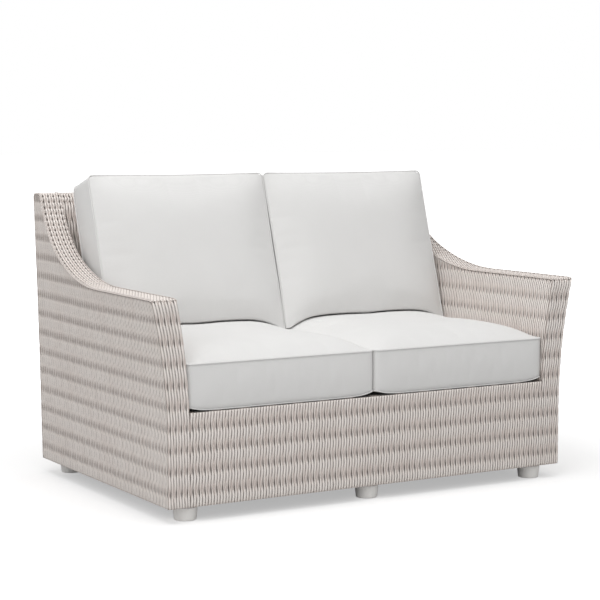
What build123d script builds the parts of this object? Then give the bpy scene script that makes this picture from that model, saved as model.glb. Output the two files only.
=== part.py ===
"""Patio loveseat: woven arms and back over a welded tube frame, with four loose box cushions.

Units are millimetres. The origin is on the floor under the centre of the whole seat.
+X runs along the seat, the front faces -Y and +Z is up. Left is the -X side, as seen from the front.
"""
from build123d import *
from math import acos, asin, cos, radians, sin, sqrt, tan
import os

os.makedirs("parts", exist_ok=True)

# Overall sizes
base_width = 1321.0
base_depth = 885.0
skirt_height = 42.0
deck_height = 299.0
arm_height = 609.0
back_height = 862.0
back_rake = 33.0
back_top_depth = 71.0
back_lean_angle = 17.4

# Arms
arm_wall = 66.0
arm_wall_top = 74.0
arm_flare = 46.0
flare_start = 220.0
scoop_low_radius = 680.0
scoop_break_angle = 25.3
scoop_high_radius = 340.0
arm_front_radius = 10.0
top_front_radius = 25.0
top_rear_radius = 20.0
# Places along the depth, and how much of the flare is left there
flare_station_shares = ((0.0, 1.0), (0.3, 0.86), (0.6, 0.66), (0.8, 0.38), (0.92, 0.2), (1.0, 0.12))

# Woven skins and the tube frame
weave = 4.0
fit_gap = 0.3
overrun = 30.0
rail = 25.0
tube_wall = 1.6
rail_lift = 2.0

# Seat webbing
strap_width = 50.0
strap_thickness = 1.2
strap_spacing = 84.0

# Levelling feet
foot_side_inset = 74.5
foot_end_inset = 51.0
plate_width = 90.0
plate_depth = 62.0
plate_thickness = 4.0
glide_top_radius = 34.5
glide_floor_radius = 31.0
glide_height = 38.0
glide_edge = 2.0
stud_radius = 4.0
stud_height = 34.0
thread_clearance = 0.08
plate_hole_radius = 4.6
nut_radius = 8.5
nut_height = 10.0

# Cushions
cushion_span = 1190.0
cushion_gap = 2.0
seat_cushion_setback = 9.0
seat_cushion_rear_gap = 6.5
seat_boxing = 127.0
seat_crown = 40.0
back_cushion_rise = 2.0
back_boxing = 120.0
back_crown_front = 45.0
back_crown_rear = 70.0
back_foot_spare = 6.0
crown_sink = 14.0
cushion_corner_radius = 22.0
side_draw = 6.0
boxing_bulge = 5.0
crown_roll = 120.0
crown_overhang = 3.0
cover_wall = 3.0
# Places across a cushion, and how much of the crown has risen there
crown_station_shares = ((0.0, 0.10), (0.05, 0.42), (0.14, 0.74), (0.3, 0.94), (0.5, 1.0))
roll_rise_share = 0.8
roll_middle_share = 0.4
roll_middle_rise_share = 0.5

# Cushion zips
zip_length = 480.0
tape_width = 22.0
teeth_width = 5.0
teeth_height = 1.0
slider_length = 14.0
slider_width = 10.0
slider_height = 3.0
slider_clearance = 0.2
pull_length = 20.0
pull_width = 6.0
pull_thickness = 1.2
zip_edge_inset = 5.0

# Places worked out from the sizes above
half_width = base_width / 2
total_depth = base_depth + back_rake
front_y = -total_depth / 2
base_rear_y = front_y + base_depth
rear_y = front_y + total_depth
top_front_y = rear_y - back_top_depth
inner_width = half_width - arm_wall
tube_in = weave + fit_gap
reach = half_width + arm_flare + overrun
lean_sin = sin(radians(back_lean_angle))
lean_cos = cos(radians(back_lean_angle))
lean_tan = tan(radians(back_lean_angle))


def box_between(low, high):
    """A box from its lowest to its highest corner."""
    size = [b - a for a, b in zip(low, high)]
    return Pos(*low) * Box(*size, align=(Align.MIN, Align.MIN, Align.MIN))


def across(face, low_x, high_x):
    """A side-view face drawn out along X between two places."""
    return Pos(low_x) * extrude(face, amount=high_x - low_x, dir=(1, 0, 0))


def mirrored(shape):
    """The same shape on the other side of the seat."""
    return mirror(shape, about=Plane.YZ)


def save(shape, name):
    """Write one sub-part."""
    export_step(shape, f"parts/{name}.step")


def save_pair(shape, name):
    """Write a right-hand sub-part and its left-hand twin."""
    save(shape, f"{name}_right")
    save(mirrored(shape), f"{name}_left")


# Side view of the seat, where each scoop ends level with the front edge of the back's top

break_sin = sin(radians(scoop_break_angle))
break_cos = cos(radians(scoop_break_angle))
radius_change = scoop_low_radius - scoop_high_radius
high_centre_z = arm_height + scoop_low_radius - radius_change * break_cos
high_run = sqrt(scoop_high_radius**2 - (high_centre_z - back_height) ** 2)
high_centre = (top_front_y - high_run, high_centre_z)
low_centre = (high_centre[0] - radius_change * break_sin, arm_height + scoop_low_radius)


def round_point(centre, radius, angle):
    """A point on a scoop arc, by its angle from straight down."""
    return (centre[0] + radius * sin(angle), centre[1] - radius * cos(angle))


def rear_line(height, inset):
    """How far back the raked rear face is at a height."""
    climb_share = (height - skirt_height) / (back_height - skirt_height)
    return base_rear_y + back_rake * climb_share - inset


def lean_line(height, inset):
    """How far back the leaning inner back is at a height."""
    return top_front_y - (back_height - height) * lean_tan + inset / lean_cos


def cap_height(y):
    """Height of the woven cap along the arm and up the scoop."""
    break_y = round_point(low_centre, scoop_low_radius, radians(scoop_break_angle))[0]
    if y <= low_centre[0]:
        return arm_height
    if y <= break_y:
        return low_centre[1] - sqrt(scoop_low_radius**2 - (y - low_centre[0]) ** 2)
    if y - high_centre[0] >= scoop_high_radius:
        return back_height
    height = high_centre[1] - sqrt(scoop_high_radius**2 - (y - high_centre[0]) ** 2)
    return min(height, back_height)


def side_face(drop=0.0, front=0.0, rear=0.0, bottom=skirt_height):
    """Side view of an arm, drawn in from its top, front and rear edges."""
    top = back_height - drop
    low_radius = scoop_low_radius + drop
    high_radius = scoop_high_radius + drop
    break_angle = radians(scoop_break_angle)
    end_angle = acos((high_centre[1] - top) / high_radius)
    front_foot = (front_y + front, bottom)
    front_top = (front_y + front, arm_height - drop)
    scoop_foot = (low_centre[0], arm_height - drop)
    low_middle = round_point(low_centre, low_radius, break_angle / 2)
    scoop_break = round_point(low_centre, low_radius, break_angle)
    high_middle = round_point(high_centre, high_radius, (break_angle + end_angle) / 2)
    scoop_top = round_point(high_centre, high_radius, end_angle)
    rear_top = (rear_line(top, rear), top)
    rear_foot = (rear_line(bottom, rear), bottom)
    outline = Polyline(rear_foot, front_foot, front_top, scoop_foot)
    outline += ThreePointArc(scoop_foot, low_middle, scoop_break)
    outline += ThreePointArc(scoop_break, high_middle, scoop_top)
    outline += Polyline(scoop_top, rear_top, rear_foot)
    face = make_face(Plane.YZ * outline)
    face = fillet(nearest_corner(face, front_top), arm_front_radius - min(drop, front))
    face = fillet(nearest_corner(face, scoop_top), top_front_radius)
    return fillet(nearest_corner(face, rear_top), top_rear_radius - min(drop, rear))


def back_face(inset=0.0):
    """Side view of the back between the arms, drawn in from every edge but its foot."""
    top = back_height - inset
    front_foot = (lean_line(deck_height, inset), deck_height)
    front_top = (lean_line(top, inset), top)
    rear_top = (rear_line(top, inset), top)
    rear_foot = (rear_line(deck_height, inset), deck_height)
    face = make_face(Plane.YZ * Polyline(front_foot, front_top, rear_top, rear_foot, close=True))
    face = fillet(nearest_corner(face, front_top), top_front_radius - min(inset, tube_in))
    return fillet(nearest_corner(face, rear_top), top_rear_radius - min(inset, tube_in))


def nearest_corner(face, point):
    """The corner of a side-view face that lies nearest to a point."""
    place = Vector(0, *point)
    return face.vertices().sort_by(lambda corner: (Vector(corner) - place).length)[0]


# Flared arm walls

def flared_edge(inset, station):
    """Foot, flare and top of an upright line in an arm, inset from its outer face."""
    depth_share, flare_share = station
    cap = cap_height(front_y + total_depth * depth_share)
    top = back_height + overrun
    overrun_share = (top - flare_start) / (cap - flare_start)
    taper = (arm_wall_top - arm_wall) * inset / arm_wall
    flare = (arm_flare - taper) * flare_share * overrun_share**2
    return half_width - inset, flare, top


def flared_line(inset, station, bottom):
    """Straight foot and bowed upper part of one arm face, from the bottom up."""
    foot, flare, top = flared_edge(inset, station)
    rise = top - flare_start
    bow_radius = (rise**2 + flare**2) / (2 * flare)
    half_turn = asin(rise / bow_radius) / 2
    middle = (foot + bow_radius * (1 - cos(half_turn)), flare_start + bow_radius * sin(half_turn))
    tip = (foot + flare, top)
    straight = Line((foot, bottom), (foot, flare_start))
    return straight, ThreePointArc((foot, flare_start), middle, tip), (foot, bottom), tip


def arm_slab(outer_inset, inner_inset, bottom=skirt_height):
    """Right arm, between two insets from its outer face, uncut above and at its ends."""
    sections = []
    for station in flare_station_shares:
        outer = flared_line(outer_inset, station, bottom)
        inner = flared_line(inner_inset, station, bottom)
        outline = outer[0] + outer[1] + Line(outer[3], inner[3])
        outline += inner[1] + inner[0] + Line(inner[2], outer[2])
        place = Plane.XZ.offset(-(front_y + total_depth * station[0]))
        sections.append(make_face(place * outline))
    return loft(sections)


def half_block(bottom=skirt_height):
    """Right half of the whole seat's width, uncut above and at its ends."""
    sections = []
    for station in flare_station_shares:
        straight, bow, foot, tip = flared_line(0.0, station, bottom)
        outline = straight + bow + Polyline(tip, (0.0, tip[1]), (0.0, bottom), foot)
        place = Plane.XZ.offset(-(front_y + total_depth * station[0]))
        sections.append(make_face(place * outline))
    return loft(sections)


# Woven skins

def woven_skins():
    """Every woven skin, made for the right side and mirrored."""
    below = skirt_height - overrun
    rear_cut = rear_line(back_height, 0.0) - top_rear_radius
    front_cut = arm_height - arm_front_radius
    band = across(side_face(), 0.0, reach)
    band -= across(side_face(weave, weave, weave, below), 0.0, reach)
    wall = arm_slab(0.0, arm_wall)

    cap_zone = box_between((0.0, front_y, front_cut), (reach, rear_cut, back_height))
    save_pair(wall & band & cap_zone, "arm_cap")
    front_zone = box_between((0.0, front_y, skirt_height), (reach, front_y + weave, front_cut - fit_gap))
    save_pair(wall & band & front_zone, "arm_front_skin")

    outer_side = across(side_face(tube_in, tube_in, tube_in), 0.0, reach)
    save_pair(arm_slab(0.0, weave) & outer_side, "outer_side_skin")

    inner_side = across(side_face(tube_in, tube_in, tube_in, deck_height), 0.0, reach)
    behind_back = across(back_face(-fit_gap), 0.0, reach)
    save_pair((arm_slab(arm_wall - weave, arm_wall) & inner_side) - behind_back, "inner_arm_skin")

    rear_zone = box_between((0.0, rear_cut + fit_gap, back_height / 2), (reach, rear_y, back_height))
    rear_zone += box_between((0.0, base_rear_y - tube_in, skirt_height), (reach, rear_y, back_height / 2))
    panel = across(side_face(), 0.0, reach) - across(side_face(weave, weave, weave, below), 0.0, reach)
    panel = half_block() & panel & rear_zone
    save(panel + mirrored(panel), "outer_back_skin")

    edge = inner_width - fit_gap
    back_band = across(back_face(), -edge, edge) - across(back_face(weave), -edge, edge)
    roll_foot = back_height - top_front_radius
    top_zone = box_between((-edge, -rear_y, roll_foot), (edge, rear_cut, back_height))
    save(back_band & top_zone, "back_top_cap")
    panel_edge = half_width
    panel = across(back_face(), -panel_edge, panel_edge) - across(back_face(weave), -panel_edge, panel_edge)
    lean_rear = (lean_line(roll_foot, weave) + rear_line(roll_foot, weave)) / 2
    low_zone = box_between((-panel_edge, -rear_y, deck_height), (panel_edge, lean_rear, roll_foot - fit_gap))
    arm_block = arm_slab(0.0, arm_wall + fit_gap)
    save((panel & low_zone) - arm_block - mirrored(arm_block), "inner_back_skin")

    save(
        box_between((-edge, front_y, skirt_height), (edge, front_y + weave, deck_height)),
        "front_apron_skin",
    )


# Tube frame

def tube_between(low, high, axis):
    """A square or flat tube that fills a box and is open at both ends of one axis."""
    inner_low = [value + (0.0 if i == axis else tube_wall) for i, value in enumerate(low)]
    inner_high = [value - (0.0 if i == axis else tube_wall) for i, value in enumerate(high)]
    return box_between(low, high) - box_between(inner_low, inner_high)


def rear_band(inset, thickness, low_x, high_x, low_z, high_z):
    """A piece that follows the raked rear face between two heights."""
    corners = [
        (rear_line(low_z, inset + thickness), low_z),
        (rear_line(low_z, inset), low_z),
        (rear_line(high_z, inset), high_z),
        (rear_line(high_z, inset + thickness), high_z),
    ]
    return across(make_face(Plane.YZ * Polyline(*corners, close=True)), low_x, high_x)


def upright_and_arm_tubes():
    """Bowed front posts, raked rear posts and the arm rails that follow the scoop."""
    foot = skirt_height + rail_lift
    under_rail = tube_in + rail
    post = arm_slab(tube_in, tube_in + rail, foot)
    bore = arm_slab(tube_in + tube_wall, tube_in + rail - tube_wall, foot)
    under_arm = across(side_face(under_rail, 0.0, tube_in, foot), 0.0, reach)

    front_end = front_y + tube_in
    front_zone = box_between((0.0, front_end, foot), (reach, front_end + rail, arm_height))
    bore_zone = box_between(
        (0.0, front_end + tube_wall, foot), (reach, front_end + rail - tube_wall, arm_height)
    )
    save_pair((post & front_zone & under_arm) - (bore & bore_zone), "front_post")

    rear_zone = rear_band(tube_in, rail, 0.0, reach, foot, back_height)
    bore_zone = rear_band(tube_in + tube_wall, rail - 2 * tube_wall, 0.0, reach, foot, back_height)
    save_pair((post & rear_zone & under_arm) - (bore & bore_zone), "rear_post")

    rail_side = (arm_wall - rail) / 2
    strip = across(side_face(tube_in, tube_in, tube_in), 0.0, reach)
    strip -= across(side_face(under_rail, -overrun, -overrun, skirt_height - overrun), 0.0, reach)
    hollow_drop = tube_in + tube_wall
    hollow = across(side_face(hollow_drop, tube_in, tube_in), 0.0, reach)
    hollow -= across(
        side_face(under_rail - tube_wall, -overrun, -overrun, skirt_height - overrun), 0.0, reach
    )
    solid_rail = arm_slab(rail_side, rail_side + rail) & strip
    hollow_rail = arm_slab(rail_side + tube_wall, rail_side + rail - tube_wall) & hollow
    save_pair(solid_rail - hollow_rail, "arm_rail")


def base_tubes():
    """Bottom ring of the frame, and the posts at its middle."""
    low = skirt_height + rail_lift
    high = low + rail
    front = front_y + tube_in
    side = half_width - tube_in - rail
    save(tube_between((-side, front, low), (side, front + rail, high), 0), "base_front_rail")
    rear = rear_band(tube_in, rail, -side, side, low, high)
    rear -= rear_band(
        tube_in + tube_wall, rail - 2 * tube_wall, -side, side, low + tube_wall, high - tube_wall
    )
    save(rear, "base_rear_rail")
    rear_end = rear_line(low, tube_in + rail)
    save_pair(tube_between((side, front + rail, low), (side + rail, rear_end, high), 1), "base_side_rail")

    seat_low = deck_height - rail
    half = rail / 2
    save(tube_between((-half, front, high), (half, front + rail, seat_low), 2), "front_centre_post")
    post = rear_band(tube_in, rail, -half, half, high, seat_low)
    post -= rear_band(
        tube_in + tube_wall, rail - 2 * tube_wall, tube_wall - half, half - tube_wall, high, seat_low
    )
    save(post, "rear_centre_post")


def seat_tubes():
    """Seat rails at deck height, and the bearer between the two cushions."""
    low = deck_height - rail
    half = rail / 2
    front = front_y + tube_in
    post_zone = arm_slab(0.0, tube_in + rail + fit_gap)
    both_posts = post_zone + mirrored(post_zone)
    full = tube_between((-reach, front, low), (reach, front + rail, deck_height), 0)
    save(full - both_posts - outside_arms(), "seat_front_rail")
    rear = rear_band(tube_in, rail, -reach, reach, low, deck_height)
    rear -= rear_band(
        tube_in + tube_wall, rail - 2 * tube_wall, -reach, reach, low + tube_wall, deck_height - tube_wall
    )
    save(rear - both_posts - outside_arms(), "back_cross_rail")

    cross_front = rear_line(low, tube_in + rail)
    side = tube_between(
        (inner_width - half, front + rail, low), (inner_width + half, cross_front, deck_height), 1
    )
    save_pair(side, "seat_side_rail")
    foot = lean_line(deck_height, weave / 2)
    edge = inner_width - half
    save(tube_between((-edge, foot - half, low), (edge, foot + half, deck_height), 0), "seat_rear_rail")
    save(
        tube_between((-half, front + rail, low), (half, foot - half, deck_height), 1),
        "seat_centre_bearer",
    )


def outside_arms():
    """The space beyond both arms' posts, where a cross rail is cut off."""
    edge = half_width - tube_in - rail - fit_gap
    right = box_between((edge, -rear_y, skirt_height), (reach + overrun, rear_y, back_height))
    return right + mirrored(right)


def back_tubes():
    """Top rail of the back and the leaning stiles behind the inner back."""
    top_low = back_height - tube_in - rail
    side = inner_width + overrun
    top = across(back_face(tube_in), -side, side)
    top &= box_between((-side, -rear_y, top_low), (side, rear_y, back_height))
    hollow = across(back_face(tube_in + tube_wall), -side, side)
    hollow &= box_between((-side, -rear_y, top_low + tube_wall), (side, rear_y, back_height))
    arm_zone = arm_slab(0.0, (arm_wall + rail) / 2 + fit_gap)
    save(top - hollow - arm_zone - mirrored(arm_zone), "back_top_rail")

    stile_side = inner_width - 2 * rail
    for name, centre in (("left", -stile_side), ("centre", 0.0), ("right", stile_side)):
        save(leaning_stile(centre, deck_height, top_low), f"back_stile_{name}")


def leaning_stile(centre, low, high):
    """A tube behind the inner back, between two heights."""
    half = rail / 2
    bore_half = half - tube_wall
    stile = lean_band(tube_in, rail, centre - half, centre + half, low, high)
    return stile - lean_band(
        tube_in + tube_wall, 2 * bore_half, centre - bore_half, centre + bore_half, low, high
    )


def lean_band(inset, thickness, low_x, high_x, low_z, high_z):
    """A piece that follows the leaning inner back between two heights."""
    corners = [
        (lean_line(low_z, inset), low_z),
        (lean_line(low_z, inset + thickness), low_z),
        (lean_line(high_z, inset + thickness), high_z),
        (lean_line(high_z, inset), high_z),
    ]
    return across(make_face(Plane.YZ * Polyline(*corners, close=True)), low_x, high_x)


# Seat webbing

def webbing():
    """Straps from front to rear, and straps from side to side on top of them."""
    front = front_y + tube_in
    rear = lean_line(deck_height, 0.0) - fit_gap
    side = inner_width - fit_gap
    level = deck_height + strap_thickness + fit_gap
    lengthwise = [
        box_between(
            (x - strap_width / 2, front, deck_height),
            (x + strap_width / 2, rear, deck_height + strap_thickness),
        )
        for x in spread(-side, side)
    ]
    save(Compound(children=lengthwise), "webbing_front_to_rear")
    crosswise = [
        box_between((-side, y - strap_width / 2, level), (side, y + strap_width / 2, level + strap_thickness))
        for y in spread(front, rear)
    ]
    save(Compound(children=crosswise), "webbing_side_to_side")


def spread(low, high):
    """Centres of evenly spaced straps between two edges."""
    count = int((high - low) // strap_spacing)
    pitch = (high - low) / count
    return [low + pitch / 2 + pitch * i for i in range(count)]


# Levelling feet

def foot_places():
    """Name and plan centre of each foot."""
    side = half_width - foot_side_inset
    rows = (("front", front_y + foot_end_inset, 1.0), ("rear", base_rear_y - foot_end_inset, -1.0))
    for row, y, facing in rows:
        for column, x in (("left", -side), ("centre", 0.0), ("right", side)):
            yield f"{row}_{column}", x, y, facing


def feet():
    """Plates and weld nuts in the frame, and a screw-in glide at each."""
    plate_low = skirt_height + rail_lift
    plate_top = plate_low + plate_thickness
    frame_edge = tube_in + rail
    plates = []
    nuts = []
    for name, x, y, facing in foot_places():
        middle = 0.0 if x == 0.0 else (half_width - frame_edge - plate_width / 2) * (1 if x > 0.0 else -1)
        near = front_y + frame_edge if facing > 0.0 else rear_line(plate_low, frame_edge)
        far = near + facing * plate_depth
        plate = box_between(
            (middle - plate_width / 2, min(near, far), plate_low),
            (middle + plate_width / 2, max(near, far), plate_top),
        )
        plates.append(plate - Pos(x, y, plate_low) * Cylinder(plate_hole_radius, 2 * overrun))
        nut = extrude(RegularPolygon(nut_radius, 6), amount=nut_height)
        nut -= Cylinder(stud_radius + thread_clearance, 2 * overrun)
        nuts.append(Pos(x, y, plate_top) * nut)
        save(Pos(x, y) * glide(), f"glide_{name}")
    save(Compound(children=plates), "foot_plates")
    save(Compound(children=nuts), "foot_weld_nuts")


def glide():
    """A tapered pad moulded on its threaded stud."""
    pad = [
        (0.0, 0.0),
        (glide_floor_radius - glide_edge, 0.0),
        (glide_floor_radius, glide_edge),
        (glide_top_radius, glide_height - glide_edge),
        (glide_top_radius - glide_edge, glide_height),
        (stud_radius, glide_height),
        (stud_radius, glide_height + stud_height),
        (0.0, glide_height + stud_height),
    ]
    return revolve(make_face(Plane.XZ * Polyline(*pad, close=True)), Axis.Z)


# Cushions

def cushion_outline(width, front, rear, draw):
    """Plan of a box cushion, with round corners and drawn-in front and sides."""
    r = cushion_corner_radius
    x = width / 2
    nick = r - r / sqrt(2)
    middle = (front + rear) / 2
    outline = ThreePointArc((-x + r, front), (0.0, front + draw), (x - r, front))
    outline += ThreePointArc((x - r, front), (x - nick, front + nick), (x, front + r))
    outline += ThreePointArc((x, front + r), (x - draw, middle), (x, rear - r))
    outline += ThreePointArc((x, rear - r), (x - nick, rear - nick), (x - r, rear))
    outline += Line((x - r, rear), (-x + r, rear))
    outline += ThreePointArc((-x + r, rear), (-x + nick, rear - nick), (-x, rear - r))
    outline += ThreePointArc((-x, rear - r), (-x + draw, middle), (-x, front + r))
    outline += ThreePointArc((-x, front + r), (-x + nick, front + nick), (-x + r, front))
    return make_face(outline)


def crown_section(x, depth, rise):
    """One cut through a crowned panel, from its front seam to its rear seam."""
    y = depth / 2
    shoulder = (y - crown_roll, rise * roll_rise_share)
    bend = (y - crown_roll * roll_middle_share, rise * roll_middle_rise_share)
    outline = Line((y, 0.0), (-y, 0.0))
    outline += ThreePointArc((-y, 0.0), (-bend[0], bend[1]), (-shoulder[0], shoulder[1]))
    outline += ThreePointArc((-shoulder[0], shoulder[1]), (0.0, rise), shoulder)
    outline += ThreePointArc(shoulder, bend, (y, 0.0))
    return make_face(Plane.YZ.offset(x) * outline)


def crown(width, depth, rise):
    """A crowned panel that stands on its seam plane."""
    sections = []
    for across_share, rise_share in crown_station_shares:
        sections.append(crown_section(across_share * width - width / 2, depth, rise * rise_share))
    for across_share, rise_share in reversed(crown_station_shares[:-1]):
        sections.append(crown_section(width / 2 - across_share * width, depth, rise * rise_share))
    return loft(sections)


def cushion_form(width, depth, boxing, upper_crown, lower_crown, inset=0.0):
    """A crowned box cushion, drawn in alike on all sides by an inset."""
    x_size = width - 2 * inset
    y_size = depth - 2 * inset
    height = boxing - 2 * inset
    half = y_size / 2
    seam = cushion_outline(x_size, -half, half, side_draw)
    belly = cushion_outline(x_size, -half - boxing_bulge, half, side_draw)
    form = loft([seam, Pos(0, 0, height / 2) * belly, Pos(0, 0, height) * seam])
    prism = extrude(seam, amount=upper_crown + lower_crown, dir=(0, 0, 1))
    crown_width = x_size + 2 * crown_overhang
    crown_depth = y_size + 2 * crown_overhang
    form += Pos(0, 0, height) * (crown(crown_width, crown_depth, upper_crown) & prism)
    if lower_crown > 0.0:
        form += mirror(crown(crown_width, crown_depth, lower_crown) & prism, about=Plane.XY)
    return Pos(0, 0, inset) * form


def zip_pieces(place):
    """Slot, zip and slider of one cushion, on the plane of its wall, outward along Z."""
    slot = place * box_between(
        (-zip_length / 2, -tape_width / 2, -2 * cover_wall), (zip_length / 2, tape_width / 2, cover_wall)
    )
    tape_x = zip_length / 2 - fit_gap
    tape_y = tape_width / 2 - fit_gap
    tape = box_between((-tape_x, -tape_y, -cover_wall), (tape_x, tape_y, 0.0))
    tape += box_between((-tape_x, -teeth_width / 2, 0.0), (tape_x, teeth_width / 2, teeth_height))
    rest = zip_length / 2 - slider_length
    inner_end = rest - slider_length / 2
    low = slider_clearance
    high = low + slider_height
    body = box_between(
        (inner_end, -slider_width / 2, low), (inner_end + slider_length, slider_width / 2, high)
    )
    groove = teeth_width / 2 + slider_clearance
    body -= box_between((-zip_length, -groove, 0.0), (zip_length, groove, teeth_height + slider_clearance))
    body += box_between(
        (inner_end - pull_length, -pull_width / 2, high - pull_thickness), (rest, pull_width / 2, high)
    )
    return slot, place * tape, place * body


def save_cushion(name, form, zip_place):
    """Cover, filling, zip and slider of one cushion and of its twin."""
    slot, zip_tape, zip_slider = zip_pieces(zip_place)
    cover = form(0.0) - form(cover_wall) - slot
    save_pair(cover, f"{name}_cover")
    save_pair(form(cover_wall + fit_gap), f"{name}_filling")
    save_pair(zip_tape, f"{name}_zip")
    save_pair(zip_slider, f"{name}_zip_slider")


def cushions():
    """Two seat cushions on the webbing, and two back cushions that lean on the inner back."""
    width = (cushion_span - cushion_gap) / 2
    centre = (cushion_gap + width) / 2
    seat_low = deck_height + 2 * (strap_thickness + fit_gap)
    seat_front = front_y + seat_cushion_setback
    seat_rear = lean_line(seat_low, 0.0) - seat_cushion_rear_gap
    seat_depth = seat_rear - seat_front
    seat_middle = (seat_front + seat_rear) / 2

    def seat_form(inset):
        form = cushion_form(width, seat_depth, seat_boxing, seat_crown, 0.0, inset)
        return Pos(centre, seat_middle, seat_low) * form

    zip_place = Plane((centre, seat_rear, seat_low + seat_boxing / 2), x_dir=(1, 0, 0), z_dir=(0, 1, 0))
    save_cushion("seat_cushion", seat_form, zip_place)

    foot = seat_low + seat_boxing + seat_crown - crown_sink
    stand_off = back_crown_rear + fit_gap
    front_off = stand_off + back_boxing
    top_y = top_front_y + back_cushion_rise * lean_sin
    top_z = back_height + back_cushion_rise * lean_cos
    front_drop = top_z + front_off * lean_sin - foot
    height = front_drop / lean_cos + back_foot_spare
    origin = (
        centre,
        top_y - stand_off * lean_cos - height / 2 * lean_sin,
        top_z + stand_off * lean_sin - height / 2 * lean_cos,
    )
    place = Plane(origin, x_dir=(-1, 0, 0), z_dir=(0, -lean_cos, lean_sin))

    def back_form(inset):
        form = place * cushion_form(width, height, back_boxing, back_crown_front, back_crown_rear, inset)
        keep = box_between((-reach, -rear_y, foot + inset), (reach, 2 * rear_y, 2 * back_height))
        return (form & keep) - seat_form(-fit_gap - inset)

    zip_y = lean_line(foot, 0.0) - stand_off / lean_cos - zip_edge_inset
    zip_place = Plane((centre, zip_y, foot), x_dir=(1, 0, 0), z_dir=(0, 0, -1))
    save_cushion("back_cushion", back_form, zip_place)


woven_skins()
upright_and_arm_tubes()
base_tubes()
seat_tubes()
back_tubes()
webbing()
feet()
cushions()
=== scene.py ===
"""Dresses the patio loveseat: woven resin skins, cloth cushions, finishes, light and camera."""

import logging
import math
from contextlib import contextmanager
from dataclasses import asdict, dataclass
from enum import Enum
from functools import partial
from typing import Callable, Iterable, Iterator, Optional, Union

import bmesh
import bpy
import numpy as np
from mathutils import Matrix, Vector
from mathutils.bvhtree import BVHTree

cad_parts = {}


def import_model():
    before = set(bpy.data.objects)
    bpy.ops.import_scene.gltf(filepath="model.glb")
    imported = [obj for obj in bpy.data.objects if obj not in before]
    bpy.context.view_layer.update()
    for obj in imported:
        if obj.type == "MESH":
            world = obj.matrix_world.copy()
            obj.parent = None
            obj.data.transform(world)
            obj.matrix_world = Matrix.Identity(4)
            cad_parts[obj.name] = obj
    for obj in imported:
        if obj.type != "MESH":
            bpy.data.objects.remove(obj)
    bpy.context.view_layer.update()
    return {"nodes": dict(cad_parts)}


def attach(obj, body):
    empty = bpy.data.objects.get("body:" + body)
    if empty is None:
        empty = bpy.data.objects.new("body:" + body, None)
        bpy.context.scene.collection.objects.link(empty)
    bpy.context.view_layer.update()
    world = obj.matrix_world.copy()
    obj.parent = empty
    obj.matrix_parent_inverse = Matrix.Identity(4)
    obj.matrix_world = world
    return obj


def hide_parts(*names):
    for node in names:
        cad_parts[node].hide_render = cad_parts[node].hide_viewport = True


LOG = logging.getLogger("loveseat")
SAME_PLACE = 1e-6
Triple = tuple[float, float, float]
Colour = Triple
Places = Callable[[np.ndarray, np.ndarray], np.ndarray]
Ends = Callable[[np.ndarray], np.ndarray]


class Side(Enum):
    """The two mirrored halves of the seat."""

    RIGHT = "right"
    LEFT = "left"


# Meshes


def points_of(mesh: bpy.types.Mesh) -> np.ndarray:
    """Where a mesh's vertices are.

    Args:
        mesh: Any mesh.

    Returns:
        One row of x, y and z for each vertex.
    """
    flat = np.zeros(len(mesh.vertices) * 3)
    mesh.vertices.foreach_get("co", flat)
    return flat.reshape(-1, 3)


def move_points(mesh: bpy.types.Mesh, points: np.ndarray) -> None:
    """Put a mesh's vertices at new places."""
    mesh.vertices.foreach_set("co", points.astype(np.float32).ravel())
    mesh.update()


def shown(name: str, mesh: bpy.types.Mesh) -> bpy.types.Object:
    """Show a mesh with smooth faces.

    Args:
        name: Name of the new object.
        mesh: The mesh, already in its place.

    Returns:
        An object at the origin, in the scene.
    """
    mesh.polygons.foreach_set("use_smooth", [True] * len(mesh.polygons))
    piece = bpy.data.objects.new(name, mesh)
    bpy.context.scene.collection.objects.link(piece)
    return piece


@contextmanager
def opened(mesh: bpy.types.Mesh) -> Iterator[bmesh.types.BMesh]:
    """Open a mesh for bmesh operators, and write it back after them.

    Args:
        mesh: The mesh to work on.

    Yields:
        The mesh as a bmesh.
    """
    bm = bmesh.new()
    bm.from_mesh(mesh)
    yield bm
    bm.to_mesh(mesh)
    bm.free()


def flat_grids(name: str, grids: dict[int, tuple[int, int]]) -> bpy.types.Mesh:
    """Flat grids from -1 to 1 that the caller wraps round its pieces.

    Args:
        name: Name of the new mesh.
        grids: The cells along x and y of each grid, by the height that it lies at.

    Returns:
        One mesh of loose grids.
    """
    mesh = bpy.data.meshes.new(name)
    with opened(mesh) as bm:
        for height, (cells_x, cells_y) in grids.items():
            made = bmesh.ops.create_grid(bm, x_segments=cells_x, y_segments=cells_y, size=1.0)
            bmesh.ops.translate(bm, verts=made["verts"], vec=(0.0, 0.0, float(height)))
    return mesh


def mirrored(name: str, mesh: bpy.types.Mesh) -> bpy.types.Mesh:
    """The same mesh on the other side of the seat, with its faces still outward.

    Args:
        name: Name of the new mesh.
        mesh: The mesh to copy.

    Returns:
        The mirrored copy.
    """
    twin = mesh.copy()
    twin.name = name
    with opened(twin) as bm:
        bmesh.ops.scale(bm, vec=(-1.0, 1.0, 1.0), verts=bm.verts[:])
        bmesh.ops.reverse_faces(bm, faces=bm.faces[:])
    return twin


# Shaders


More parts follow.
